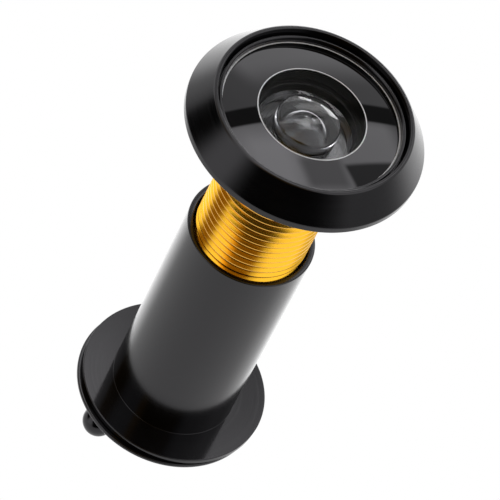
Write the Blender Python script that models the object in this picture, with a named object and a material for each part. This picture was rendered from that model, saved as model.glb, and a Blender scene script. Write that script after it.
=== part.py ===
"""A door viewer with a privacy cover, built as an assembly of its separate pieces.

Metres, +Z up. The barrel lies along Y: the front lens looks along -Y, out of the door, and the cover is at +Y,
inside the room. The origin is on the barrel's axis, in the plane of the bezel's back face, which rests on the door.
"""

from math import asin, cos, pi, radians, sin

import bmesh
import bpy
from mathutils import Vector

MM = 0.001
FIT_GAP = 0.08 * MM  # left between pieces that touch on the real object

# front bezel and what it holds, with heights in front of the door face
BEZEL_RADIUS = 14.5 * MM
BEZEL_LAND = 0.85 * MM
BEZEL_HEIGHT = 4.36 * MM
LIP_RADIUS = 12.1 * MM
LIP_ROUND = 0.16 * MM
LIP_INNER_RADIUS = 11.65 * MM
BEZEL_FLOOR = 0.8 * MM
GLASS_RADIUS = 11.0 * MM
GLASS_FRONT = 2.8 * MM
GLASS_THICK = 1.6 * MM
GLASS_HOLLOW_RADIUS = 6.6 * MM
GLASS_HOLLOW_DEPTH = 1.5 * MM
GLASS_CROWN = 0.75 * MM
DOME_TOP = 2.55 * MM
DOME_FOOT = 0.1 * MM
DOME_RADIUS = 4.3 * MM
RETAINER_INNER_RADIUS = 10.92 * MM
RETAINER_HEIGHT = 0.75 * MM

# threaded tube, M14 x 1
THREAD_PITCH = 1.0 * MM
THREAD_CREST_RADIUS = 7.0 * MM
THREAD_ROOT_RADIUS = 6.42 * MM
THREAD_PHASE = 0.3 * MM  # where the first turn's crest passes straight above the axis
TUBE_LENGTH = 36.0 * MM
TUBE_BORE_RADIUS = 5.6 * MM
TUBE_MOUTH_RADIUS = 6.0 * MM
TUBE_MOUTH_DEPTH = 1.6 * MM
COLLAR_RADIUS = 9.0 * MM
COLLAR_THICK = 0.25 * MM
NECK_RADIUS = 7.04 * MM
NECK_LENGTH = 0.6 * MM

# rear sleeve, as it stands at rest
SLEEVE_RADIUS = 8.0 * MM
SLEEVE_MOUTH = 20.0 * MM
MOUTH_RADIUS = 7.3 * MM
INSIDE_THREAD_START = 22.2 * MM
INSIDE_THREAD_TURNS = 12
INSIDE_THREAD_CREST_RADIUS = 6.68 * MM
INSIDE_THREAD_ROOT_RADIUS = 7.28 * MM
SLEEVE_SHOULDER = 47.5 * MM
FLANGE_FACE = 52.3 * MM
FLANGE_THICK = 0.75 * MM
FLANGE_RADIUS = 11.9 * MM
FLANGE_CHAMFER = 0.12 * MM
EYE_APERTURE_RADIUS = 4.3 * MM
EYE_POCKET_RADIUS = 6.0 * MM
EYE_RING_RADIUS = 6.6 * MM
EYE_RING_DEPTH = 1.45 * MM
SEAL_START = 21.0 * MM
SEAL_WIDTH = 0.9 * MM
SEAL_GROOVE_RADIUS = 7.6 * MM

# privacy cover
COVER_RADIUS = 11.9 * MM
COVER_THICK = 0.55 * MM
COVER_DROP = 0.6 * MM  # how far the disc's centre hangs below the barrel's axis
PIVOT_HEIGHT = 9.3 * MM
PIVOT_RADIUS = 0.9 * MM
PIVOT_HEAD_RADIUS = 1.7 * MM
KNOB_DROP = 10.2 * MM
KNOB_RADIUS = 2.05 * MM
KNOB_STEM_RADIUS = 0.95 * MM
KNOB_STEM_LENGTH = 0.65 * MM

CAP_SHARE = 0.25  # a shallow cap stands this share of its height off the chord from its centre to its rim

FINE = 48  # steps round the large visible turnings
MEDIUM = 40
COARSE = 28
THREAD_STEPS = 18

FLANGE_BACK = FLANGE_FACE + FLANGE_THICK
EYE_SEAT = SLEEVE_SHOULDER + 0.8 * MM
EYE_RING_SEAT = FLANGE_BACK - EYE_RING_DEPTH
COVER_FRONT = FLANGE_BACK + FIT_GAP
COVER_BACK = COVER_FRONT + COVER_THICK


def clear_scene():
    for obj in list(bpy.data.objects):
        bpy.data.objects.remove(obj)


def new_collection(name):
    collection = bpy.data.collections.new(name)
    bpy.context.scene.collection.children.link(collection)
    return collection


def new_material(name, colour, roughness, metallic=0.0, transmission=0.0):
    material = bpy.data.materials.new(name)
    material.use_nodes = True
    shader = material.node_tree.nodes["Principled BSDF"]
    shader.inputs["Base Color"].default_value = (*colour, 1.0)
    shader.inputs["Roughness"].default_value = roughness
    shader.inputs["Metallic"].default_value = metallic
    shader.inputs["Transmission Weight"].default_value = transmission
    return material


def new_object(name, bm, collection, material=None, origin=(0, 0, 0)):
    """Makes an object of a bmesh that is in world coordinates, and puts the object's own origin at the given point."""
    origin = Vector(origin)
    bmesh.ops.translate(bm, verts=bm.verts, vec=-origin)
    mesh = bpy.data.meshes.new(name)
    bm.to_mesh(mesh)
    bm.free()
    if material:
        mesh.materials.append(material)
    mesh.shade_smooth()
    mesh.set_sharp_from_angle(angle=radians(30))
    obj = bpy.data.objects.new(name, mesh)
    obj.location = origin
    collection.objects.link(obj)
    return obj


def turn(outline, steps, centre=(0.0, 0.0)):
    """Turns a closed outline of (radius, y) points about an axis along Y that passes through centre (x, z)."""
    bm = bmesh.new()
    points = [bm.verts.new((radius, y, 0)) for radius, y in outline]
    pairs = zip(points, points[1:] + points[:1])
    edges = [bm.edges.new(pair) for pair in pairs if pair[0].co.x + pair[1].co.x > 0]
    bmesh.ops.spin(bm, geom=points + edges, axis=(0, 1, 0), angle=2 * pi, steps=steps, use_merge=True)
    bmesh.ops.remove_doubles(bm, verts=bm.verts, dist=MM / 10000)
    bmesh.ops.recalc_face_normals(bm, faces=bm.faces)
    bmesh.ops.translate(bm, verts=bm.verts, vec=(centre[0], 0, centre[1]))
    return bm


def arc(start, end, bulge, count):
    """Points from start to end, both (radius, y), on a circular arc that rises by bulge to the left of the chord."""
    if abs(bulge) < MM / 10000:
        return [start, end]
    chord = Vector(end) - Vector(start)
    half = chord.length / 2
    radius = (half * half + bulge * bulge) / (2 * bulge)
    side = Vector((-chord.y, chord.x)).normalized()
    middle = (Vector(start) + Vector(end)) / 2 + side * (bulge - radius)
    first = Vector(start) - middle
    sweep = first.angle_signed(Vector(end) - middle)
    points = []
    for i in range(count + 1):
        angle = -sweep * i / count
        points.append((middle.x + first.x * cos(angle) - first.y * sin(angle),
                       middle.y + first.x * sin(angle) + first.y * cos(angle)))
    return points


def ridge(foot_radius, crest_radius, foot_half, start, turns):
    """A right-handed helical ridge along +Y, of triangular section, with flat ends."""
    section = [(foot_radius, -foot_half), (crest_radius, 0), (foot_radius, foot_half)]
    bm = bmesh.new()
    rings = []
    for i in range(turns * THREAD_STEPS + 1):
        angle = 2 * pi * i / THREAD_STEPS
        y = start + THREAD_PITCH * i / THREAD_STEPS
        rings.append([bm.verts.new((r * sin(angle), y + offset, r * cos(angle))) for r, offset in section])
    bm.faces.new(rings[0])
    bm.faces.new(rings[-1][::-1])
    for near, far in zip(rings, rings[1:]):
        for k in range(len(section)):
            after = (k + 1) % len(section)
            bm.faces.new((near[k], far[k], far[after], near[after]))
    bmesh.ops.recalc_face_normals(bm, faces=bm.faces)
    return bm


def combine(obj, tool, operation):
    modifier = obj.modifiers.new(tool.name, "BOOLEAN")
    modifier.operation = operation
    modifier.object = tool
    modifier.solver = "EXACT"


def hide_tool(tool):
    tool.hide_render = True
    tool.display_type = "WIRE"
    return tool


class Shop:
    """The collections and the materials that the pieces are made with."""

    def __init__(self):
        self.parts = new_collection("door_viewer")
        self.tools = new_collection("cutters")
        self.black_satin = new_material("black_satin", (0.012, 0.012, 0.013), 0.3, 0.6)
        self.black_gloss = new_material("black_gloss", (0.01, 0.01, 0.012), 0.12, 0.5)
        self.gold = new_material("gold_anodised", (0.95, 0.55, 0.08), 0.22, 1.0)
        self.blackened = new_material("blackened", (0.02, 0.02, 0.02), 0.6, 0.2)
        self.rubber = new_material("rubber", (0.015, 0.015, 0.015), 0.8)
        self.steel = new_material("steel", (0.55, 0.55, 0.56), 0.3, 1.0)
        self.glass = new_material("glass", (0.95, 0.97, 0.97), 0.02, 0.0, 1.0)

    def piece(self, name, bm, material, origin=(0, 0, 0)):
        return new_object(name, bm, self.parts, material, origin)

    def tool(self, name, bm):
        return hide_tool(new_object(name, bm, self.tools))


def front_bezel(shop):
    hole = NECK_RADIUS + FIT_GAP
    seat = GLASS_RADIUS + FIT_GAP
    step = GLASS_FRONT + FIT_GAP / 2
    retainer = RETAINER_INNER_RADIUS + 0.45 * MM
    outline = [
        (hole, 0), (BEZEL_RADIUS - 0.1 * MM, 0), (BEZEL_RADIUS, -0.1 * MM), (BEZEL_RADIUS, -BEZEL_LAND),
        *arc((LIP_RADIUS, -BEZEL_HEIGHT + LIP_ROUND), (LIP_RADIUS - LIP_ROUND, -BEZEL_HEIGHT), 0.05 * MM, 3),
        *arc((LIP_INNER_RADIUS + 0.08 * MM, -BEZEL_HEIGHT), (LIP_INNER_RADIUS, -BEZEL_HEIGHT + 0.08 * MM), 0.02 * MM, 2),
        (retainer, -step), (seat, -step), (seat, -BEZEL_FLOOR), (hole, -BEZEL_FLOOR),
    ]
    return shop.piece("front_bezel", turn(outline, FINE), shop.black_satin)


def lens_retaining_ring(shop):
    low = -GLASS_FRONT - FIT_GAP
    top = low - RETAINER_HEIGHT
    outer = RETAINER_INNER_RADIUS + 0.36 * MM
    outline = [(RETAINER_INNER_RADIUS, low), (outer, low), (outer, top),
               (RETAINER_INNER_RADIUS + 0.12 * MM, top), (RETAINER_INNER_RADIUS, top + 0.12 * MM)]
    return shop.piece("lens_retaining_ring", turn(outline, FINE), shop.black_satin)


def front_lens(shop):
    front = -GLASS_FRONT
    back = front + GLASS_THICK
    chamfer = 0.12 * MM
    crown = arc((0, front - GLASS_CROWN), (GLASS_RADIUS - chamfer, front), -GLASS_CROWN * CAP_SHARE, 7)
    hollow = arc((GLASS_HOLLOW_RADIUS, back), (0, back - GLASS_HOLLOW_DEPTH), GLASS_HOLLOW_DEPTH * CAP_SHARE, 7)
    outline = [*crown, (GLASS_RADIUS, front + chamfer), (GLASS_RADIUS, back), *hollow]
    return shop.piece("front_lens", turn(outline, FINE), shop.glass)


def lens_gasket(shop):
    low = -BEZEL_FLOOR - FIT_GAP / 2
    top = -GLASS_FRONT + GLASS_THICK + FIT_GAP / 2
    inner = COLLAR_RADIUS + 0.2 * MM
    outer = GLASS_RADIUS - 0.1 * MM
    return shop.piece("lens_gasket", turn([(inner, low), (outer, low), (outer, top), (inner, top)], MEDIUM), shop.rubber)


def threaded_tube(shop):
    collar_low = -BEZEL_FLOOR - FIT_GAP / 2
    collar_top = collar_low - COLLAR_THICK
    outline = [(0, collar_top), (COLLAR_RADIUS, collar_top), (COLLAR_RADIUS, collar_low),
               (NECK_RADIUS, collar_low), (NECK_RADIUS, NECK_LENGTH), (THREAD_ROOT_RADIUS, NECK_LENGTH + 0.3 * MM),
               (THREAD_ROOT_RADIUS, TUBE_LENGTH), (0, TUBE_LENGTH)]
    tube = shop.piece("threaded_tube", turn(outline, THREAD_STEPS), shop.gold)
    turns = round(TUBE_LENGTH / THREAD_PITCH)
    thread = ridge(THREAD_ROOT_RADIUS - 0.12 * MM, THREAD_CREST_RADIUS, 0.42 * MM, THREAD_PHASE, turns)
    combine(tube, shop.tool("tube_thread", thread), "UNION")
    cone_foot = THREAD_ROOT_RADIUS - 0.25 * MM
    end = [(cone_foot, TUBE_LENGTH), (7.2 * MM, TUBE_LENGTH - 1.0 * MM), (8 * MM, TUBE_LENGTH - 1.0 * MM),
           (8 * MM, TUBE_LENGTH + 2 * MM), (cone_foot, TUBE_LENGTH + 2 * MM)]
    combine(tube, shop.tool("tube_end_chamfer", turn(end, MEDIUM)), "DIFFERENCE")
    bore = [(0, -3 * MM), (TUBE_MOUTH_RADIUS, -3 * MM), (TUBE_MOUTH_RADIUS, TUBE_MOUTH_DEPTH),
            (TUBE_BORE_RADIUS, TUBE_MOUTH_DEPTH), (TUBE_BORE_RADIUS, TUBE_LENGTH + 3 * MM), (0, TUBE_LENGTH + 3 * MM)]
    combine(tube, shop.tool("tube_bore", turn(bore, MEDIUM)), "DIFFERENCE")
    return tube


def second_lens(shop):
    radius = TUBE_MOUTH_RADIUS - FIT_GAP
    back = TUBE_MOUTH_DEPTH - FIT_GAP
    dome = arc((0, -DOME_TOP), (DOME_RADIUS, -DOME_FOOT), -0.65 * MM, 8)
    hollow = arc((3.8 * MM, back), (0, -0.9 * MM), 0.65 * MM, 7)
    outline = [*dome, (radius, -DOME_FOOT), (radius, back), *hollow]
    return shop.piece("second_lens", turn(outline, COARSE), shop.glass)


def tube_ring(shop, name, start, end, inner, material):
    """A plain ring or a spacer that fits the tube's bore."""
    outer = TUBE_BORE_RADIUS - FIT_GAP
    return shop.piece(name, turn([(inner, start), (outer, start), (outer, end), (inner, end)], COARSE), material)


def third_lens(shop, start, end):
    radius = TUBE_BORE_RADIUS - FIT_GAP
    front = arc((0, start + 0.45 * MM), (4.4 * MM, start), 0.12 * MM, 4)
    back = arc((4.2 * MM, end), (0, end - 1.3 * MM), 0.3 * MM, 6)
    return shop.piece("third_lens", turn([*front, (radius, start), (radius, end), *back], COARSE), shop.glass)


def crowned_lens(shop, name, start, end, radius, crown):
    """A glass with both faces domed outwards by crown, between the planes start and end."""
    front = arc((0, start), (radius, start + crown), -crown * CAP_SHARE, 4)
    back = arc((radius, end - crown), (0, end), -crown * CAP_SHARE, 4)
    return shop.piece(name, turn([*front, *back], COARSE), shop.glass)


def cut_slots(shop, ring, name, width, inner, outer, low, high):
    """Cuts two driver slots across a ring's rear face, one each side."""
    for side, sign in (("left", -1), ("right", 1)):
        bm = bmesh.new()
        bmesh.ops.create_cube(bm, size=1)
        bmesh.ops.scale(bm, verts=bm.verts, vec=(outer - inner, high - low, width))
        bmesh.ops.translate(bm, verts=bm.verts, vec=(sign * (outer + inner) / 2, (low + high) / 2, 0))
        combine(ring, shop.tool(f"{name}_{side}", bm), "DIFFERENCE")


def lens_stack(shop):
    tube_ring(shop, "front_spacer", 1.72 * MM, 3.0 * MM, 4.7 * MM, shop.blackened)
    third_lens(shop, 3.08 * MM, 5.3 * MM)
    baffle_start = 5.38 * MM
    baffle_end = 29.4 * MM
    outer = TUBE_BORE_RADIUS - FIT_GAP
    wall = outer - 0.5 * MM
    stop = (baffle_start + baffle_end) / 2
    outline = [(wall, baffle_start), (outer, baffle_start), (outer, baffle_end), (wall, baffle_end),
               (wall, stop + 0.3 * MM), (3.2 * MM, stop + 0.15 * MM), (3.2 * MM, stop - 0.15 * MM),
               (wall, stop - 0.3 * MM)]
    shop.piece("light_baffle", turn(outline, COARSE), shop.blackened)
    crowned_lens(shop, "field_lens", 29.5 * MM, 33.1 * MM, outer, 1.0 * MM)
    ring = tube_ring(shop, "lens_lock_ring", 33.4 * MM, 35.0 * MM, 4.0 * MM, shop.steel)
    cut_slots(shop, ring, "lock_ring_slot", 0.8 * MM, 3.5 * MM, 6.0 * MM, 34.4 * MM, 36.0 * MM)


def rear_sleeve(shop):
    chamfer = 0.1 * MM
    groove_end = SEAL_START + SEAL_WIDTH
    relief = INSIDE_THREAD_START + INSIDE_THREAD_TURNS * THREAD_PITCH
    outside = [
        (0, SLEEVE_MOUTH), (SLEEVE_RADIUS - chamfer, SLEEVE_MOUTH), (SLEEVE_RADIUS, SLEEVE_MOUTH + chamfer),
        (SLEEVE_RADIUS, FLANGE_FACE), (FLANGE_RADIUS - FLANGE_CHAMFER, FLANGE_FACE),
        (FLANGE_RADIUS, FLANGE_FACE + FLANGE_CHAMFER), (FLANGE_RADIUS, FLANGE_BACK - chamfer),
        (FLANGE_RADIUS - chamfer, FLANGE_BACK), (0, FLANGE_BACK),
    ]
    sleeve = shop.piece("rear_sleeve", turn(outside, FINE), shop.black_satin)
    bore = [
        (0, SLEEVE_MOUTH - MM), (MOUTH_RADIUS + MM, SLEEVE_MOUTH - MM), (MOUTH_RADIUS, SLEEVE_MOUTH + chamfer),
        (MOUTH_RADIUS, SEAL_START), (SEAL_GROOVE_RADIUS, SEAL_START), (SEAL_GROOVE_RADIUS, groove_end),
        (MOUTH_RADIUS, groove_end), (MOUTH_RADIUS, INSIDE_THREAD_START - 0.2 * MM),
        (INSIDE_THREAD_CREST_RADIUS, INSIDE_THREAD_START), (INSIDE_THREAD_CREST_RADIUS, relief + 0.3 * MM),
        (INSIDE_THREAD_ROOT_RADIUS, relief + 0.4 * MM), (INSIDE_THREAD_ROOT_RADIUS, SLEEVE_SHOULDER),
        (0, SLEEVE_SHOULDER),
    ]
    combine(sleeve, shop.tool("sleeve_bore", turn(bore, THREAD_STEPS)), "DIFFERENCE")
    pocket = [
        (0, SLEEVE_SHOULDER - 0.5 * MM), (EYE_APERTURE_RADIUS, SLEEVE_SHOULDER - 0.5 * MM),
        (EYE_APERTURE_RADIUS, EYE_SEAT), (EYE_POCKET_RADIUS, EYE_SEAT), (EYE_POCKET_RADIUS, EYE_RING_SEAT),
        (EYE_RING_RADIUS, EYE_RING_SEAT), (EYE_RING_RADIUS, FLANGE_BACK + MM), (0, FLANGE_BACK + MM),
    ]
    combine(sleeve, shop.tool("eyepiece_pocket", turn(pocket, MEDIUM)), "DIFFERENCE")
    first_turn = THREAD_PHASE + THREAD_PITCH * (INSIDE_THREAD_START // THREAD_PITCH - 1)
    groove = ridge(INSIDE_THREAD_CREST_RADIUS - 0.15 * MM, INSIDE_THREAD_ROOT_RADIUS, 0.46 * MM,
                   first_turn, INSIDE_THREAD_TURNS + 2)
    combine(sleeve, shop.tool("sleeve_thread_groove", groove), "DIFFERENCE")
    hole = PIVOT_RADIUS + 0.05 * MM
    drill = turn([(0, FLANGE_FACE - MM), (hole, FLANGE_FACE - MM), (hole, FLANGE_BACK + MM), (0, FLANGE_BACK + MM)],
                 THREAD_STEPS, (0, PIVOT_HEIGHT))
    combine(sleeve, shop.tool("flange_pivot_drill", drill), "DIFFERENCE")
    return sleeve


def sleeve_seal_ring(shop):
    inner = THREAD_CREST_RADIUS + 0.07 * MM
    outer = SEAL_GROOVE_RADIUS - 0.17 * MM
    low = SEAL_START + 0.08 * MM
    high = SEAL_START + SEAL_WIDTH - 0.08 * MM
    middle = (low + high) / 2
    outline = [(inner, middle), (inner + 0.1 * MM, low), (outer, low), (outer, high), (inner + 0.1 * MM, high)]
    return shop.piece("sleeve_seal_ring", turn(outline, MEDIUM), shop.rubber)


def eyepiece(shop):
    radius = EYE_POCKET_RADIUS - FIT_GAP
    low = EYE_SEAT + FIT_GAP / 2
    high = EYE_SEAT + 0.3 * MM
    gasket = turn([(4.7 * MM, low), (radius, low), (radius, high), (4.7 * MM, high)], COARSE)
    shop.piece("eyepiece_gasket", gasket, shop.rubber)
    start = high + FIT_GAP / 2
    rim = start + 1.8 * MM
    inner_face = arc((0, start - 0.15 * MM), (4.6 * MM, start), -0.03 * MM, 3)
    outer_face = arc((radius - 0.1 * MM, rim), (0, EYE_RING_SEAT - FIT_GAP), -0.25 * MM, 5)
    lens = turn([*inner_face, (radius, start), (radius, rim), *outer_face], COARSE)
    shop.piece("eyepiece_lens", lens, shop.glass)
    ring_outer = EYE_RING_RADIUS - FIT_GAP
    ring_low = EYE_RING_SEAT + FIT_GAP / 2
    ring_high = FLANGE_BACK - 0.1 * MM
    outline = [(4.4 * MM, ring_low + 0.3 * MM), (5.2 * MM, ring_low), (ring_outer, ring_low),
               (ring_outer, ring_high), (4.9 * MM, ring_high), (4.4 * MM, ring_high - 0.5 * MM)]
    ring = shop.piece("eyepiece_ring", turn(outline, COARSE), shop.black_satin)
    cut_slots(shop, ring, "eyepiece_ring_slot", 0.9 * MM, 3.9 * MM, 7.0 * MM, ring_high - 0.6 * MM, ring_high + 1 * MM)


def privacy_cover(shop):
    chamfer = 0.1 * MM
    outline = [(0, COVER_FRONT), (COVER_RADIUS - chamfer, COVER_FRONT), (COVER_RADIUS, COVER_FRONT + chamfer),
               (COVER_RADIUS, COVER_BACK - chamfer), (COVER_RADIUS - chamfer, COVER_BACK), (0, COVER_BACK)]
    disc = turn(outline, FINE, (0, -COVER_DROP))
    cover = shop.piece("privacy_cover", disc, shop.black_gloss, (0, COVER_FRONT, PIVOT_HEIGHT))
    holes = {"cover_pivot_drill": (PIVOT_RADIUS + 0.06 * MM, PIVOT_HEIGHT),
             "cover_knob_drill": (KNOB_STEM_RADIUS - 0.15 * MM + 0.06 * MM, -KNOB_DROP)}
    for name, (radius, height) in holes.items():
        drill = [(0, COVER_FRONT - MM), (radius, COVER_FRONT - MM), (radius, COVER_BACK + MM), (0, COVER_BACK + MM)]
        combine(cover, shop.tool(name, turn(drill, THREAD_STEPS, (0, height))), "DIFFERENCE")
    return cover


def cover_pivot_pin(shop):
    low = FLANGE_FACE + 0.03 * MM
    head = COVER_BACK + 0.42 * MM
    top = head + 0.75 * MM
    outline = [(0, low), (PIVOT_RADIUS - 0.1 * MM, low), (PIVOT_RADIUS, low + 0.1 * MM), (PIVOT_RADIUS, head),
               (PIVOT_HEAD_RADIUS, head), *arc((PIVOT_HEAD_RADIUS, head + 0.2 * MM), (0, top), -0.14 * MM, 5)]
    return shop.piece("cover_pivot_pin", turn(outline, THREAD_STEPS, (0, PIVOT_HEIGHT)), shop.black_satin)


def cover_spring_washer(shop):
    inner, outer = PIVOT_RADIUS + 0.07 * MM, PIVOT_HEAD_RADIUS + 0.15 * MM
    low = COVER_BACK + 0.06 * MM
    outline = [(inner, low + 0.15 * MM), (outer, low), (outer, low + 0.13 * MM), (inner, low + 0.28 * MM)]
    return shop.piece("cover_spring_washer", turn(outline, THREAD_STEPS, (0, PIVOT_HEIGHT)), shop.steel)


def cover_knob(shop):
    """A ball on a stem whose thinner end is riveted in the cover."""
    rivet = KNOB_STEM_RADIUS - 0.15 * MM
    foot = COVER_BACK + 0.04 * MM
    stem_end = COVER_BACK + KNOB_STEM_LENGTH
    ball = stem_end + KNOB_RADIUS * cos(pi / 7)
    start = pi - asin(KNOB_STEM_RADIUS / KNOB_RADIUS)
    steps = 10
    sphere = []
    for i in range(steps + 1):
        angle = start * (1 - i / steps)
        sphere.append((KNOB_RADIUS * sin(angle), ball + KNOB_RADIUS * cos(angle)))
    outline = [(0, COVER_FRONT + 0.05 * MM), (rivet, COVER_FRONT + 0.05 * MM), (rivet, foot),
               (KNOB_STEM_RADIUS, foot), *sphere]
    return shop.piece("cover_knob", turn(outline, THREAD_STEPS, (0, -KNOB_DROP)), shop.black_gloss,
                      (0, COVER_FRONT, PIVOT_HEIGHT))


def main():
    clear_scene()
    shop = Shop()
    front_bezel(shop)
    lens_retaining_ring(shop)
    front_lens(shop)
    lens_gasket(shop)
    threaded_tube(shop)
    second_lens(shop)
    lens_stack(shop)
    rear_sleeve(shop)
    sleeve_seal_ring(shop)
    eyepiece(shop)
    privacy_cover(shop)
    cover_pivot_pin(shop)
    cover_spring_washer(shop)
    cover_knob(shop)


main()
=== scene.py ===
from math import asin, cos, pi, radians, sin, sqrt, tan

import bmesh
import bpy
from mathutils import Matrix, Vector


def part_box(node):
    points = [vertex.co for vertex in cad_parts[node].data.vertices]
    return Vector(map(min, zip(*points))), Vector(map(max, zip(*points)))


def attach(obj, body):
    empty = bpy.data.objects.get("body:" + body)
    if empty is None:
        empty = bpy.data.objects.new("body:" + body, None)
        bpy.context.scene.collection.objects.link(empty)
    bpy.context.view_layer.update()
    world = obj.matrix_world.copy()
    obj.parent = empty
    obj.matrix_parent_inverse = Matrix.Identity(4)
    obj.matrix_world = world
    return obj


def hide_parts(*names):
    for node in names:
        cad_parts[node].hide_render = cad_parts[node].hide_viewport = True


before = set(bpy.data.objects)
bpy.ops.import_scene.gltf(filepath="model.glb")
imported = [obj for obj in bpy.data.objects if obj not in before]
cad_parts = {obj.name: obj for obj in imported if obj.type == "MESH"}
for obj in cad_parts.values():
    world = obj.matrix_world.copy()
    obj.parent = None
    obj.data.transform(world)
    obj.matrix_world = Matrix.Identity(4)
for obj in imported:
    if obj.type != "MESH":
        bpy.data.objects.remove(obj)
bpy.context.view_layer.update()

mm = 0.001
sharpAngle = 32  # degrees between two faces from which their edge is a sharp one

# measures that several pieces go by, in mm: heights over the barrel's axis, and the thread's radii
shared = {"pivot": 9.3, "cover": -0.6, "knob": -10.2, "threadRoot": 6.42, "threadCrest": 7.0}

scene = bpy.context.scene
print("frame loaded:", len(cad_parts), "nodes")

# camera first: it looks up at the lens from below and to one side, rolled so the barrel leans
cameraSetup = {
    "place": (0.1882, -0.3419, -0.2484),
    "aim": (0.0076, 0.0097, -0.0087),
    "roll": 72.2,          # degrees that the world's up leans to the right in the view
    "lens": 288,
    "sensor": 36,
}


def makeCamera(setup):
    data = bpy.data.cameras.new("studioCamera")
    data.lens = setup["lens"]
    data.sensor_width = setup["sensor"]
    data.clip_start = 0.01
    data.clip_end = 20
    camera = bpy.data.objects.new("studioCamera", data)
    camera.location = setup["place"]
    forward = Vector(setup["aim"]) - Vector(setup["place"])
    level = forward.to_track_quat("-Z", "Y").to_matrix()
    camera.rotation_euler = (level @ Matrix.Rotation(radians(setup["roll"]), 3, "Z")).to_euler()
    scene.collection.objects.link(camera)
    scene.camera = camera


makeCamera(cameraSetup)


# turned pieces: a profile is a list of (radius, y) or (radius, y, corner round) in mm
def roundedProfile(points):
    bm = bmesh.new()
    verts = [bm.verts.new((point[0] * mm, point[1] * mm, 0)) for point in points]
    for pair in zip(verts, verts[1:]):
        bm.edges.new(pair)
    corners = [(vert, point[2] * mm) for vert, point in zip(verts, points) if len(point) > 2]
    for corner, size in corners:
        bmesh.ops.bevel(bm, geom=[corner], offset=size, offset_type="OFFSET", segments=5,
                        profile=0.5, affect="VERTICES", material=-1)
    vert, arrived = verts[0], None
    ordered = [vert.co.copy()]
    while True:
        onward = [edge for edge in vert.link_edges if edge != arrived]
        if not onward:
            break
        arrived = onward[0]
        vert = arrived.other_vert(vert)
        ordered.append(vert.co.copy())
    bm.free()
    return holdFlats(ordered)


def holdFlats(outline, hold=0.03 * mm):
    # a point close to each end of every long straight keeps its smooth shading flat
    held = [outline[0]]
    for start, end in zip(outline, outline[1:]):
        along = end - start
        if along.length > 0.5 * mm:
            step = along.normalized() * hold
            held += [start + step, end - step] if start.x > hold else [end - step]
        held.append(end)
    return held


def turned(points, steps):
    # spins a profile round the barrel; one that doesn't start and end on the axis is joined up
    outline = roundedProfile(points)
    bm = bmesh.new()
    verts = [bm.verts.new(co) for co in outline]
    edges = [bm.edges.new(pair) for pair in zip(verts, verts[1:])]
    onAxis = verts[0].co.x < mm / 1000 and verts[-1].co.x < mm / 1000
    if not onAxis:
        edges.append(bm.edges.new((verts[-1], verts[0])))
    bmesh.ops.spin(bm, geom=verts + edges, axis=(0, 1, 0), angle=2 * pi, steps=steps, use_merge=True)
    bmesh.ops.remove_doubles(bm, verts=bm.verts, dist=mm / 2000)
    bmesh.ops.recalc_face_normals(bm, faces=bm.faces)
    return bm


def cap(apex, sag, rim, start, end, count=24):
    # points on a ball's face, which is at apex on the axis and has moved on by sag where its radius is rim
    ball = (rim * rim + sag * sag) / (2 * sag)
    radii = [start + (end - start) * i / count for i in range(count + 1)]
    return [(radius, apex + ball * (1 - sqrt(1 - (radius / ball) ** 2))) for radius in radii]


def moved(bm, x=0.0, y=0.0, z=0.0):
    bmesh.ops.translate(bm, verts=bm.verts, vec=(x * mm, y * mm, z * mm))
    return bm


def cutOut(obj, cutters):
    # takes each cutter's shape out of the object and keeps the result as plain mesh
    for bm in cutters:
        mesh = bpy.data.meshes.new("cutter")
        bm.to_mesh(mesh)
        bm.free()
        tool = bpy.data.objects.new("cutter", mesh)
        scene.collection.objects.link(tool)
        cut = obj.modifiers.new("cut", "BOOLEAN")
        cut.operation = "DIFFERENCE"
        cut.solver = "EXACT"
        cut.object = tool
        bpy.context.view_layer.update()
        cutMesh = bpy.data.meshes.new_from_object(obj.evaluated_get(bpy.context.evaluated_depsgraph_get()))
        obj.modifiers.clear()
        obj.data = cutMesh
        bpy.data.objects.remove(tool)


def makePiece(name, bm, body, node, materials, cutters=()):
    mesh = bpy.data.meshes.new(name)
    bm.to_mesh(mesh)
    bm.free()
    obj = bpy.data.objects.new(name, mesh)
    scene.collection.objects.link(obj)
    for material in materials:
        mesh.materials.append(material)
    cutOut(obj, cutters)
    obj.data.name = name
    obj.data.shade_smooth()
    obj.data.set_sharp_from_angle(angle=radians(sharpAngle))
    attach(obj, body)
    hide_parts(node)
    return obj


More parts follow.
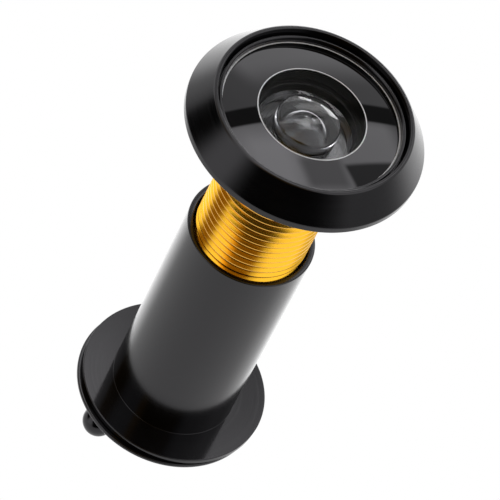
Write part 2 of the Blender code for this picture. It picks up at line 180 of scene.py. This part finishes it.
# materials: every pattern is laid out round a piece's own turning axis, as a lathe leaves it
class Finish:
    def __init__(self, name, centre=(0, 0)):
        self.material = bpy.data.materials.new(name)
        self.material.use_nodes = True
        self.tree = self.material.node_tree
        self.shader = self.tree.nodes["Principled BSDF"]
        place = self.node("ShaderNodeTexCoord")
        centred = self.node("ShaderNodeVectorMath", operation="SUBTRACT")
        centred.inputs[1].default_value = (centre[0] * mm, 0, centre[1] * mm)
        self.join(place.outputs["Object"], centred.inputs[0])
        self.place = centred.outputs[0]

    def node(self, kind, **settings):
        made = self.tree.nodes.new(kind)
        for key, value in settings.items():
            setattr(made, key, value)
        return made

    def join(self, source, target):
        self.tree.links.new(source, target)

    def math(self, operation, first, second=0.0):
        made = self.node("ShaderNodeMath", operation=operation)
        for socket, value in zip(made.inputs, (first, second)):
            if isinstance(value, (int, float)):
                socket.default_value = value
            else:
                self.join(value, socket)
        return made.outputs[0]

    def set(self, **values):
        for key, value in values.items():
            self.shader.inputs[key.replace("_", " ")].default_value = value

    def parts(self):
        split = self.node("ShaderNodeSeparateXYZ")
        self.join(self.place, split.inputs[0])
        return split.outputs

    def radius(self):
        # distance from the turning axis, in metres
        split = self.parts()
        squares = [self.math("MULTIPLY", split[axis], split[axis]) for axis in (0, 2)]
        return self.math("SQRT", self.math("ADD", *squares))

    def latheNoise(self, ringsPerMm):
        # noise that is drawn out along the cut: quick across it, slow round the axis
        split = self.parts()
        mix = self.node("ShaderNodeCombineXYZ")
        self.join(self.math("MULTIPLY", self.radius(), ringsPerMm / mm), mix.inputs[0])
        self.join(self.math("MULTIPLY", split[1], ringsPerMm / mm), mix.inputs[1])
        angle = self.math("ARCTAN2", split[0], split[2])
        self.join(self.math("SINE", angle), mix.inputs[2])
        noise = self.node("ShaderNodeTexNoise")
        noise.inputs["Scale"].default_value = 1.0
        noise.inputs["Detail"].default_value = 3.0
        self.join(mix.outputs[0], noise.inputs["Vector"])
        return noise.outputs[0]

    def speckle(self, perMm, detail=2.0):
        noise = self.node("ShaderNodeTexNoise")
        noise.inputs["Scale"].default_value = perMm / mm
        noise.inputs["Detail"].default_value = detail
        self.join(self.place, noise.inputs["Vector"])
        return noise.outputs[0]

    def ramp(self, value, stops):
        made = self.node("ShaderNodeValToRGB")
        bar = made.color_ramp.elements
        while len(bar) < len(stops):
            bar.new(0.5)
        for element, (position, colour) in zip(bar, stops):
            element.position = position
            element.color = (*colour, 1)
        self.join(value, made.inputs[0])
        return made.outputs[0]

    def spread(self, value, low, high, newLow, newHigh):
        made = self.node("ShaderNodeMapRange")
        for index, number in enumerate((low, high, newLow, newHigh)):
            made.inputs[index + 1].default_value = number
        self.join(value, made.inputs[0])
        return made.outputs[0]

    def bump(self, heights, strengths, distance=0.02 * mm):
        normal = None
        for height, strength in zip(heights, strengths):
            made = self.node("ShaderNodeBump")
            made.inputs["Strength"].default_value = strength
            made.inputs["Distance"].default_value = distance
            self.join(height, made.inputs["Height"])
            if normal is not None:
                self.join(normal, made.inputs["Normal"])
            normal = made.outputs[0]
        self.join(normal, self.shader.inputs["Normal"])

    def colour(self, output):
        self.join(output, self.shader.inputs["Base Color"])

    def rough(self, output):
        self.join(output, self.shader.inputs["Roughness"])


blackSetup = {
    "satin": {"dark": (0.003, 0.003, 0.0034), "light": (0.005, 0.0049, 0.0055), "rough": (0.14, 0.2),
              "grain": 0.04},
    "gloss": {"dark": (0.003, 0.003, 0.0036), "light": (0.006, 0.006, 0.007), "rough": (0.07, 0.11),
              "grain": 0.03},
    "glass": {"dark": (0.002, 0.002, 0.002), "light": (0.003, 0.003, 0.003), "rough": (0.0, 0.008),
              "grain": 0.0},
}


def blackPaint(name, kind, centre=(0, 0)):
    setup = blackSetup[kind]
    finish = Finish(name, centre)
    finish.set(IOR=1.5, Metallic=0.0, Specular_Tint=(0.97, 0.95, 1.0, 1.0))
    lathe = finish.latheNoise(9.0)
    cloud = finish.speckle(0.35)
    peel = finish.speckle(7.0, 1.0)
    finish.colour(finish.ramp(cloud, [(0.3, setup["dark"]), (0.7, setup["light"])]))
    finish.rough(finish.spread(lathe, 0.3, 0.7, *setup["rough"]))
    finish.bump([lathe, peel], [setup["grain"], setup["grain"] * 0.6], 0.01 * mm)
    return finish.material


# the darkest colour is shade painted into the thread's grooves, and the crest colour is a painted highlight
goldSetup = {"paintedRootShade": (0.3, 0.09, 0.001), "bright": (0.88, 0.47, 0.03), "crest": (0.93, 0.5, 0.1)}


def goldAnodised(name):
    setup = goldSetup
    finish = Finish(name)
    finish.set(Metallic=1.0)
    root, crest = shared["threadRoot"] * mm, shared["threadCrest"] * mm
    depth = finish.spread(finish.radius(), root, crest, 0.0, 1.0)
    # painted shade and highlight: the gold turns brown towards the thread's root as painted shade in the
    # grooves, and paler at the crest as a painted highlight
    stops = [(0.04, setup["paintedRootShade"]), (0.3, setup["bright"]), (0.94, setup["bright"]), (0.99, setup["crest"])]
    finish.colour(finish.ramp(depth, stops))
    lathe = finish.latheNoise(14.0)
    finish.rough(finish.spread(lathe, 0.3, 0.7, 0.13, 0.24))
    finish.bump([lathe], [0.06], 0.01 * mm)
    return finish.material


def opticalGlass(name, tint, shine=0.5, index=1.52):
    finish = Finish(name)
    finish.set(IOR=index, Transmission_Weight=1.0, Metallic=0.0, Specular_IOR_Level=shine)
    haze = finish.speckle(0.5, 3.0)
    finish.colour(finish.ramp(haze, [(0.2, tuple(0.985 * v for v in tint)), (0.8, tint)]))
    finish.rough(finish.spread(haze, 0.45, 0.8, 0.0, 0.012))
    return finish.material


def matt(name, dark, light, rough, metallic=0.0):
    finish = Finish(name)
    finish.set(Metallic=metallic)
    grain = finish.speckle(4.0, 4.0)
    finish.colour(finish.ramp(grain, [(0.3, dark), (0.7, light)]))
    finish.rough(finish.spread(grain, 0.3, 0.7, rough - 0.08, rough + 0.08))
    finish.bump([grain], [0.15])
    return finish.material


satin = blackPaint("blackSatin", "satin")
gloss = blackPaint("blackGloss", "gloss")
coverBlack = blackPaint("coverBlack", "gloss", (0, shared["cover"]))
knobBlack = blackPaint("knobBlack", "gloss", (0, shared["knob"]))
pinBlack = blackPaint("pinBlack", "gloss", (0, shared["pivot"]))
gold = goldAnodised("goldAnodised")
# painted shade: the dark tints of the next two glasses darken the domed lens, the lenses behind it and the
# eye lens, so that the inside of the viewer stays dark
glass = opticalGlass("opticalGlass", (0.72, 0.72, 0.74))
coatedGlass = opticalGlass("coatedGlass", (0.6, 0.6, 0.62), 0.12)
thinGlass = opticalGlass("thinCoatedGlass", (0.97, 0.97, 0.98), 0.5, 1.12)
backedGlass = blackPaint("backedGlass", "glass")
# pale ground-glass edge: partly the ground glass's own light tone, partly a painted highlight for the bright
# lines round the lens
groundEdgeAndHighlight = matt("groundGlassEdgeAndPaintedHighlight", (0.6, 0.61, 0.64), (0.78, 0.79, 0.82), 0.35)
rubber = matt("blackRubber", (0.006, 0.006, 0.006), (0.014, 0.014, 0.014), 0.75)
blackened = matt("blackenedMetal", (0.004, 0.004, 0.004), (0.010, 0.010, 0.011), 0.5)
rimPaint = matt("lensRimPaint", (0.002, 0.002, 0.002), (0.004, 0.004, 0.004), 0.6)
springSteel = matt("springSteel", (0.42, 0.42, 0.43), (0.55, 0.55, 0.56), 0.3, 1.0)
print("materials made")


# heights of the CAD pieces along the barrel, in mm, which the profiles start from
def span(node):
    low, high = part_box(node)
    return low.y / mm, high.y / mm


def reach(node):
    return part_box(node)[1].x / mm


bezelSetup = {
    "hole": 7.12, "land": 0.85, "lipOuter": 12.1, "lipInner": 11.65, "wallFoot": 11.37,
    "seat": 11.08, "step": 2.84, "floor": 0.8,
}


def makeBezel(setup):
    front, back = span("front_bezel")
    edge = reach("front_bezel")
    profile = [
        (setup["hole"], back), (edge, back, 0.12), (edge, back - setup["land"], 0.09),
        (setup["lipOuter"], front, 0.16), (setup["lipInner"], front, 0.1),
        (setup["wallFoot"], back - setup["step"]), (setup["seat"], back - setup["step"], 0.04),
        (setup["seat"], back - setup["floor"]), (setup["hole"], back - setup["floor"]),
    ]
    makePiece("bezelShell", turned(profile, 240), "barrel", "front_bezel", [satin])


retainerSetup = {"width": 0.36, "slopeWidth": 0.1, "slopeDrop": 0.14}


def makeRetainingRing(setup):
    top, low = span("lens_retaining_ring")
    outer = reach("lens_retaining_ring")
    inner = outer - setup["width"]
    profile = [(inner, low), (outer, low), (outer, top, 0.05), (inner + setup["slopeWidth"], top, 0.05),
               (inner, top + setup["slopeDrop"], 0.04)]
    makePiece("glassRetainer", turned(profile, 240), "barrel", "lens_retaining_ring", [satin])


objectiveSetup = {
    "chamfer": 0.12, "crown": 0.75, "hollow": 6.6, "hollowSag": 1.5, "edgeLine": 6.58, "edgeWidth": 0.13,
    "edgeDepth": 0.06,
}


def makeObjective(setup):
    front, back = span("front_lens")
    edge = reach("front_lens")
    rim, sag = edge - setup["chamfer"], setup["crown"]
    groove = [setup["edgeLine"] - setup["edgeWidth"] / 2, setup["edgeLine"] + setup["edgeWidth"] / 2]
    inside = cap(front, sag, rim, 0, groove[0])
    outside = cap(front, sag, rim, groove[1], rim)
    profile = [*inside, (setup["edgeLine"], inside[-1][1] + setup["edgeDepth"]), *outside,
               (edge, outside[-1][1] + setup["chamfer"]), (edge, back, 0.1), (setup["hollow"], back, 0.08),
               *cap(back - setup["hollowSag"], setup["hollowSag"], setup["hollow"], setup["hollow"] - 0.1, 0)]
    obj = makePiece("objectiveGlass", turned(profile, 240), "barrel", "front_lens",
                    [thinGlass, rimPaint, backedGlass, groundEdgeAndHighlight])
    for face in obj.data.polygons:
        # black lies behind the glass outside the groove ring, and the rim is painted; the groove ring and the
        # front's outer edge get the pale ground-glass edge, which is partly the ground edge's own tone and
        # partly a painted highlight for the bright lines round the lens
        away = Vector((face.center.x, face.center.z)).length / mm
        onFront = face.center.y / mm < front + sag * (away / rim) ** 2 + 0.1
        if onFront and away > groove[0]:
            highlightEdge = away < groove[1] or away > rim - 0.1
            face.material_index = 3 if highlightEdge else 2
        elif not onFront and away > setup["hollow"] - 0.05:
            face.material_index = 1


secondSetup = {
    "sag": 0.585, "capTo": 3.6, "shoulder": (3.92, -1.86), "wall": 4.0, "foot": -0.1,
    "hollow": 3.8, "hollowApex": -0.9,
}


def makeSecondLens(setup):
    front, back = span("second_lens")
    edge = reach("second_lens")
    hollow, apex = setup["hollow"], setup["hollowApex"]
    profile = [*cap(front, setup["sag"], setup["capTo"], 0, setup["capTo"], 32), (*setup["shoulder"], 0.28),
               (setup["wall"], setup["foot"]), (edge, setup["foot"], 0.05), (edge, back), (hollow, back),
               *cap(apex, back - apex, hollow, hollow - 0.05, 0)]
    obj = makePiece("domedLens", turned(profile, 144), "barrel", "second_lens",
                    [glass, coatedGlass])
    for face in obj.data.polygons:
        # the hollow in its back is coated
        away = Vector((face.center.x, face.center.z)).length / mm
        if away < hollow and face.center.y / mm > apex - 0.05 and face.normal.y > 0:
            face.material_index = 1


innerLensSetup = {"dish": 0.45, "dishRim": 4.4, "hollow": 1.3, "hollowRim": 4.2, "crown": 1.0}


def makeInnerLenses(setup):
    front, back = span("third_lens")
    edge = reach("third_lens")
    dish, dishRim, hollow, hollowRim = setup["dish"], setup["dishRim"], setup["hollow"], setup["hollowRim"]
    profile = [*cap(front + dish, -dish, dishRim, 0, dishRim), (edge, front), (edge, back), (hollowRim, back),
               *cap(back - hollow, hollow, hollowRim, hollowRim - 0.05, 0)]
    makePiece("thirdLensTurned", turned(profile, 96), "barrel", "third_lens", [coatedGlass])
    front, back = span("field_lens")
    edge = reach("field_lens")
    profile = [*cap(front, setup["crown"], edge, 0, edge), *cap(back, -setup["crown"], edge, edge, 0)]
    makePiece("fieldLensTurned", turned(profile, 96), "barrel", "field_lens", [coatedGlass])


baffleSetup = {"wall": 0.5, "aperture": 3.2, "edgeHalf": 0.15, "rootHalf": 0.3, "spacerInner": 4.7}


def makeBaffle(setup):
    start, end = span("light_baffle")
    outer = reach("light_baffle")
    wall = outer - setup["wall"]
    stop = (start + end) / 2
    profile = [(wall, start), (outer, start), (outer, end), (wall, end), (wall, stop + setup["rootHalf"]),
               (setup["aperture"], stop + setup["edgeHalf"]), (setup["aperture"], stop - setup["edgeHalf"]),
               (wall, stop - setup["rootHalf"])]
    makePiece("bafflePipe", turned(profile, 96), "barrel", "light_baffle", [blackened])
    start, end = span("front_spacer")
    inner = setup["spacerInner"]
    profile = [(inner, start, 0.1), (outer, start), (outer, end), (inner, end)]
    makePiece("spacerRing", turned(profile, 96), "barrel", "front_spacer", [blackened])


threadSetup = {
    "pitch": 1.0, "phase": 0.3, "steps": 72,
    # half of one rib, from the groove's middle to the crest: share of the pitch, share of the depth
    "rib": [(0, 0), (0.06, 0), (0.1, 0.08), (0.4, 0.9), (0.44, 1), (0.5, 1)],
}


def threadSkin(root, crest, low, high, setup):
    # one pitch of the thread's outline, spun along its helix and cut square at both ends
    pitch = setup["pitch"]
    first = setup["phase"] + pitch / 4 - pitch / 2
    while first > low - pitch * 1.5:
        first -= pitch
    turns = round((high - first) / pitch) + 2
    rise = [(along, root + (crest - root) * share) for along, share in setup["rib"]]
    outline = rise + [(1 - along, radius) for along, radius in rise[-2::-1]]
    bm = bmesh.new()
    verts = [bm.verts.new((radius * mm, (first + along * pitch) * mm, 0)) for along, radius in outline]
    edges = [bm.edges.new(pair) for pair in zip(verts, verts[1:])]
    bmesh.ops.spin(bm, geom=verts + edges, axis=(0, 1, 0), dvec=(0, pitch * mm / setup["steps"], 0),
                   angle=2 * pi, steps=setup["steps"], use_merge=False)
    oneTurn = bm.verts[:] + bm.edges[:] + bm.faces[:]
    for number in range(1, turns):
        copied = bmesh.ops.duplicate(bm, geom=oneTurn)["geom"]
        onlyVerts = [item for item in copied if isinstance(item, bmesh.types.BMVert)]
        bmesh.ops.translate(bm, verts=onlyVerts, vec=(0, number * pitch * mm, 0))
    bmesh.ops.remove_doubles(bm, verts=bm.verts, dist=mm / 500)
    for height, side in ((low, -1), (high, 1)):
        everything = bm.verts[:] + bm.edges[:] + bm.faces[:]
        bmesh.ops.bisect_plane(bm, geom=everything, dist=mm / 5000, plane_co=(0, height * mm, 0),
                               plane_no=(0, side, 0), clear_outer=True)
    return bm


def sewOn(bm, profile, low, high, steps):
    # joins an open turned profile, which starts beside low and ends beside high, to the thread's two ends
    openEdges = [edge for edge in bm.edges if edge.is_boundary]
    threadEnds = {height: [edge for edge in openEdges if abs(edge.verts[0].co.y / mm - height) < 0.01
                           and abs(edge.verts[1].co.y / mm - height) < 0.01] for height in (low, high)}
    known = set(bm.verts)
    outline = roundedProfile(profile)
    verts = [bm.verts.new(co) for co in outline]
    edges = [bm.edges.new(pair) for pair in zip(verts, verts[1:])]
    bmesh.ops.spin(bm, geom=verts + edges, axis=(0, 1, 0), angle=2 * pi, steps=steps, use_merge=True)
    added = [vert for vert in bm.verts if vert not in known]
    bmesh.ops.remove_doubles(bm, verts=added, dist=mm / 2000)
    for height, beside in ((low, outline[0]), (high, outline[-1])):
        rim = [edge for edge in bm.edges if edge.is_boundary and edge.verts[0] not in known
               and all((vert.co.y - beside.y) ** 2 < (0.01 * mm) ** 2 for vert in edge.verts)
               and all(abs(Vector((vert.co.x, vert.co.z)).length - beside.x) < 0.01 * mm
                       for vert in edge.verts)]
        bmesh.ops.bridge_loops(bm, edges=threadEnds[height] + rim)
    bmesh.ops.recalc_face_normals(bm, faces=bm.faces)
    return bm


tubeSetup = {"collar": 9.0, "collarThick": 0.25, "neck": 7.04, "mouth": 6.0, "mouthDepth": 1.6, "bore": 5.6,
             "threadFrom": 0.7, "endChamfer": 0.5}


def makeTube(setup):
    collarFront, end = span("threaded_tube")
    collarBack = collarFront + setup["collarThick"]
    low, high = setup["threadFrom"], end - setup["endChamfer"]
    root = shared["threadRoot"]
    bm = threadSkin(root, shared["threadCrest"], low, high, threadSetup)
    profile = [
        (setup["neck"], low - 0.1), (setup["neck"], collarBack), (setup["collar"], collarBack, 0.05),
        (setup["collar"], collarFront, 0.05), (setup["mouth"], collarFront, 0.1),
        (setup["mouth"], setup["mouthDepth"]), (setup["bore"], setup["mouthDepth"]),
        (setup["bore"], end, 0.1), (root - 0.25, end),
    ]
    sewOn(bm, profile, low, high, 144)
    obj = makePiece("goldTube", bm, "barrel", "threaded_tube", [gold, blackened])
    for face in obj.data.polygons:
        # the mouth under the glass and the bore are blackened
        away = Vector((face.center.x, face.center.z)).length / mm
        if away < setup["mouth"] + 0.05 and face.center.y < (end - 0.2) * mm or face.center.y < -0.2 * mm:
            face.material_index = 1


sleeveSetup = {
    "mouth": 7.3, "radius": 8.0, "sealFrom": 21.0, "sealTo": 21.9, "sealGroove": 7.6,
    "threadFrom": 22.3, "threadTo": 34.6, "threadCrest": 6.68, "threadRoot": 7.28,
    "shoulder": 47.5, "aperture": 4.3, "seat": 48.3, "pocket": 6.0, "ringSeat": 51.6, "ring": 6.6,
    "flangeThick": 0.75, "pivotHole": 0.95,
}


def makeSleeve(setup):
    mouthEnd, back = span("rear_sleeve")
    face = back - setup["flangeThick"]
    edge = reach("rear_sleeve")
    low, high = setup["threadFrom"], setup["threadTo"]
    bm = threadSkin(setup["threadCrest"], setup["threadRoot"], low, high, threadSetup)
    mouth, groove, root, shoulder = (setup[key] for key in ("mouth", "sealGroove", "threadRoot", "shoulder"))
    profile = [
        (mouth, low - 0.1), (mouth, setup["sealTo"]), (groove, setup["sealTo"]), (groove, setup["sealFrom"]),
        (mouth, setup["sealFrom"]), (mouth, mouthEnd, 0.1), (setup["radius"], mouthEnd, 0.14),
        (setup["radius"], face, 0.05), (edge, face, 0.1), (edge, back, 0.12), (setup["ring"], back, 0.1),
        (setup["ring"], setup["ringSeat"]), (setup["pocket"], setup["ringSeat"]),
        (setup["pocket"], setup["seat"]), (setup["aperture"], setup["seat"]), (setup["aperture"], shoulder),
        (root, shoulder), (root, high + 0.2),
    ]
    sewOn(bm, profile, low, high, 240)
    hole = drill(setup["pivotHole"], face, back)
    obj = makePiece("sleeveAndFlange", bm, "sleeve", "rear_sleeve", [satin, gloss],
                    [moved(hole, z=shared["pivot"])])
    for polygon in obj.data.polygons:
        if polygon.center.y > (face - 0.03) * mm:
            polygon.material_index = 1


def drill(radius, low, high):
    return turned([(0, low - 1), (radius, low - 1), (radius, high + 1), (0, high + 1)], 48)


def slotCutters(width, inner, outer, low, high):
    cutters = []
    for side in (-1, 1):
        bm = bmesh.new()
        bmesh.ops.create_cube(bm, size=mm)
        bmesh.ops.scale(bm, verts=bm.verts, vec=(outer - inner, high - low, width))
        cutters.append(moved(bm, side * (outer + inner) / 2, (low + high) / 2))
    return cutters


eyepieceSetup = {
    "innerSag": 0.15, "innerRim": 4.6, "rimHeight": 1.8, "ringInner": 4.4, "bevelInner": 4.9,
    "footInner": 5.2, "footBevel": 0.3, "faceBevel": 0.5, "slotWidth": 0.9, "slotFrom": 3.9,
    "slotTo": 7.0, "slotDepth": 0.6,
}


def makeEyepiece(setup):
    start, end = span("eyepiece_lens")
    edge = reach("eyepiece_lens")
    inner, innerSag = setup["innerRim"], setup["innerSag"]
    rim = start + innerSag + setup["rimHeight"]
    profile = [*cap(start, innerSag, inner, 0, inner), (edge, start + innerSag), (edge, rim, 0.08),
               *cap(end, rim - end, edge - 0.1, edge - 0.1, 0)]
    makePiece("eyeLensTurned", turned(profile, 144), "sleeve", "eyepiece_lens", [glass])
    low, high = span("eyepiece_ring")
    outer = reach("eyepiece_ring")
    profile = [(setup["ringInner"], low + setup["footBevel"]), (setup["footInner"], low), (outer, low),
               (outer, high, 0.06), (setup["bevelInner"], high, 0.1),
               (setup["ringInner"], high - setup["faceBevel"], 0.1)]
    slots = slotCutters(setup["slotWidth"], setup["slotFrom"], setup["slotTo"],
                        high - setup["slotDepth"], high + 1)
    makePiece("eyeRingTurned", turned(profile, 144), "sleeve", "eyepiece_ring", [satin], slots)


coverSetup = {"pivotHole": 0.96, "knobHole": 0.86}


def makeCover(setup):
    front, back = span("privacy_cover")
    edge = reach("privacy_cover")
    disc = turned([(0, front), (edge, front, 0.14), (edge, back, 0.2), (0, back)], 240)
    holes = ((setup["pivotHole"], shared["pivot"]), (setup["knobHole"], shared["knob"]))
    cutters = [moved(drill(radius, front, back), z=height) for radius, height in holes]
    makePiece("coverDisc", moved(disc, z=shared["cover"]), "cover", "privacy_cover",
              [coverBlack], cutters)


knobSetup = {"stem": 0.95, "rivet": 0.8}


def makeKnob(setup):
    start, end = span("cover_knob")
    ball = reach("cover_knob")
    foot = span("privacy_cover")[1] + 0.04
    centre = end - ball
    meets = pi - asin(setup["stem"] / ball)
    angles = [meets * (1 - i / 32) for i in range(1, 33)]
    sphere = [(ball * sin(angle), centre + ball * cos(angle)) for angle in angles]
    profile = [(0, start), (setup["rivet"], start), (setup["rivet"], foot), (setup["stem"], foot, 0.05),
               (setup["stem"], centre + ball * cos(meets), 0.08), *sphere]
    makePiece("ballKnob", moved(turned(profile, 96), z=shared["knob"]), "cover", "cover_knob",
              [knobBlack])


pinSetup = {"shank": 0.9, "headHeight": 0.75, "headEdge": 0.2, "washerInner": 0.97, "washerRise": 0.15,
            "washerThick": 0.13}


def makePin(setup):
    low, top = span("cover_pivot_pin")
    headRadius = reach("cover_pivot_pin")
    head = top - setup["headHeight"]
    shoulder = head + setup["headEdge"]
    profile = [(0, low), (setup["shank"], low, 0.08), (setup["shank"], head), (headRadius, head, 0.06),
               *cap(top, shoulder - top, headRadius, headRadius, 0)]
    makePiece("pivotRivet", moved(turned(profile, 72), z=shared["pivot"]), "sleeve", "cover_pivot_pin",
              [pinBlack])
    low, high = span("cover_spring_washer")
    outer, inner = reach("cover_spring_washer"), setup["washerInner"]
    profile = [(inner, low + setup["washerRise"]), (outer, low, 0.03),
               (outer, low + setup["washerThick"], 0.03), (inner, high)]
    makePiece("springWasherTurned", moved(turned(profile, 72), z=shared["pivot"]), "sleeve",
              "cover_spring_washer", [springSteel])


def dressHiddenPieces():
    for node, material in (("lens_gasket", rubber), ("sleeve_seal_ring", rubber), ("eyepiece_gasket", rubber),
                           ("lens_lock_ring", blackened)):
        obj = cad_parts[node]
        obj.data.materials.clear()
        obj.data.materials.append(material)


makeBezel(bezelSetup)
makeRetainingRing(retainerSetup)
makeObjective(objectiveSetup)
makeSecondLens(secondSetup)
makeInnerLenses(innerLensSetup)
makeBaffle(baffleSetup)
print("front assembly made")
makeTube(tubeSetup)
makeSleeve(sleeveSetup)
print("threaded tube and sleeve made")
makeEyepiece(eyepieceSetup)
makeCover(coverSetup)
makeKnob(knobSetup)
makePin(pinSetup)
dressHiddenPieces()
print("rear fittings made")


# studio: a pale floor well below, and a surround of soft boxes and dark flags, each seen from the lens at an
# azimuth from -Y towards +X and an elevation, with its width and height, edge softness and tilt in degrees
def softPanel(at, size, soft, tilt, level, warm=False):
    return {"at": at, "size": size, "soft": soft, "tilt": tilt, "level": level, "warm": warm}


studioSetup = {
    "floor": -0.42, "floorSize": 8.0, "backdrop": 1.0, "surround": 0.85, "warmColour": (1.0, 0.56, 0.06, 1.0),
    "panels": {
        "keyBox": softPanel((-132, 38), (70, 80), (22, 26), 0, 1.75),
        "ceilingBox": softPanel((175, 62), (80, 44), (40, 30), 0, 1.45),
        "lowBox": softPanel((-30, -74), (50, 46), (20, 16), 0, 1.15),
        "sideShade": softPanel((84, 34), (40, 60), (26, 40), 0, 0.42),
        "lowFlag": softPanel((60, -34), (56, 84), (14, 22), 0, 0.0),
        "leftFlag": softPanel((-83, -40), (22, 38), (14, 22), 0, 0.0),
        "threadFlag": softPanel((27, -26), (44, 36), (2, 2), 0, 0.24, True),
        "threadFlagLeft": softPanel((-40, -30), (20, 50), (2, 2), 0, 0.24, True),
        "leftBox": softPanel((-72, -8), (34, 34), (10, 10), 0, 1.5),
        "threadBoxRight": softPanel((45, 18), (50, 44), (14, 14), 0, 1.3),
        "threadBox": softPanel((-8, -34), (26, 40), (8, 8), 0, 1.3),
        "lensBox": softPanel((-40.6, 37.6), (32, 13.7), (4, 0.5), 97.8, 0.9),
        "lensBoxTop": softPanel((-49.1, 40.4), (32, 13), (4, 7), 105.5, 2.0),
        "tableGlow": softPanel((-18.8, 28.2), (32, 16.5), (4, 3), 82.7, 2.3),
        "tableGlowLeft": softPanel((-19.2, 21.2), (8.2, 11.7), (5, 5), 76.7, 3.5),
        "tableShade": softPanel((-16.1, 28.7), (6.9, 5.6), (2, 2), 82.4, 1.4),
        "wedgeFlag": softPanel((-12.4, 38.1), (10.8, 7.7), (1, 1), 88.6, 0.4),
        "lensGap": softPanel((-29.7, 33.2), (32, 3.4), (3, 0.6), 89.4, 0.1),
        "domeLightLeft": softPanel((-73, 41), (9, 10), (1, 1), 0, 9.0),
        "domeLightTop": softPanel((-62, 61), (16, 11), (1, 1), 30, 9.0),
        "rearBox": softPanel((-27, 31.5), (5.4, 5), (1, 1), 0, 0.75),
    },
}


def makeFloor(setup):
    bm = bmesh.new()
    bmesh.ops.create_grid(bm, x_segments=8, y_segments=8, size=setup["floorSize"] / 2)
    bmesh.ops.translate(bm, verts=bm.verts, vec=(0, 0, setup["floor"]))
    mesh = bpy.data.meshes.new("studioFloor")
    bm.to_mesh(mesh)
    bm.free()
    floor = bpy.data.objects.new("studioFloor", mesh)
    scene.collection.objects.link(floor)
    mesh.materials.append(matt("palePaper", (0.8, 0.8, 0.8), (0.84, 0.84, 0.84), 0.85))
    # the surround alone lights the viewer, so the floor shows only where the camera looks at it
    floor.visible_glossy = floor.visible_diffuse = floor.visible_transmission = False


def panelAxes(panel):
    azimuth, elevation = (radians(angle) for angle in panel["at"])
    facing = Vector((cos(elevation) * sin(azimuth), -cos(elevation) * cos(azimuth), sin(elevation)))
    level = Vector((0, 0, 1)).cross(facing).normalized()
    upward = facing.cross(level)
    across = level * cos(radians(panel["tilt"])) + upward * sin(radians(panel["tilt"]))
    return facing, across, facing.cross(across)


def makeWorld(setup):
    world = bpy.data.worlds.new("studioWorld")
    scene.world = world
    world.use_nodes = True
    tree = world.node_tree
    nodes, join = tree.nodes, tree.links.new
    direction = nodes.new("ShaderNodeTexCoord").outputs["Generated"]

    def math(operation, first, second):
        made = nodes.new("ShaderNodeMath")
        made.operation = operation
        for socket, value in zip(made.inputs, (first, second)):
            if isinstance(value, (int, float)):
                socket.default_value = value
            else:
                join(value, socket)
        return made.outputs[0]

    def along(axis):
        made = nodes.new("ShaderNodeVectorMath")
        made.operation = "DOT_PRODUCT"
        join(direction, made.inputs[0])
        made.inputs[1].default_value = axis
        return made.outputs["Value"]

    def fade(offset, facing, size, soft):
        # 1 inside the panel's half width and 0 outside it, with a soft edge
        made = nodes.new("ShaderNodeMapRange")
        made.interpolation_type = "SMOOTHSTEP"
        made.inputs[1].default_value = tan(radians(max(size - soft, 0) / 2))
        made.inputs[2].default_value = tan(radians((size + soft) / 2))
        made.inputs[3].default_value = 1.0
        made.inputs[4].default_value = 0.0
        join(math("ABSOLUTE", math("DIVIDE", offset, facing), 0.0), made.inputs[0])
        return made.outputs[0]

    light, warm = setup["surround"], 0.0
    for panel in setup["panels"].values():
        facingAxis, acrossAxis, alongAxis = panelAxes(panel)
        facing = along(facingAxis)
        mask = math("MULTIPLY", fade(along(acrossAxis), facing, panel["size"][0], panel["soft"][0]),
                    fade(along(alongAxis), facing, panel["size"][1], panel["soft"][1]))
        mask = math("MULTIPLY", mask, math("GREATER_THAN", facing, 0.0))
        if panel["warm"]:
            warm = math("MAXIMUM", warm, mask)
        around = math("MULTIPLY", light, math("SUBTRACT", 1.0, mask))
        light = math("ADD", around, math("MULTIPLY", mask, panel["level"]))
    lit = nodes["Background"]
    join(light, lit.inputs["Strength"])
    tint = nodes.new("ShaderNodeMixRGB")
    tint.inputs["Color1"].default_value = (1, 1, 1, 1)
    tint.inputs["Color2"].default_value = setup["warmColour"]
    join(warm, tint.inputs["Fac"])
    join(tint.outputs[0], lit.inputs["Color"])
    backdrop = nodes.new("ShaderNodeBackground")
    backdrop.inputs["Strength"].default_value = setup["backdrop"]
    backdrop.inputs["Color"].default_value = (1, 1, 1, 1)
    choose = nodes.new("ShaderNodeMixShader")
    join(nodes.new("ShaderNodeLightPath").outputs["Is Camera Ray"], choose.inputs[0])
    join(lit.outputs[0], choose.inputs[1])
    join(backdrop.outputs[0], choose.inputs[2])
    join(choose.outputs[0], nodes["World Output"].inputs["Surface"])
    world.cycles.sampling_method = "MANUAL"
    world.cycles.sample_map_resolution = 2048


makeFloor(studioSetup)
makeWorld(studioSetup)
scene.view_settings.view_transform = "Standard"
print("studio made")
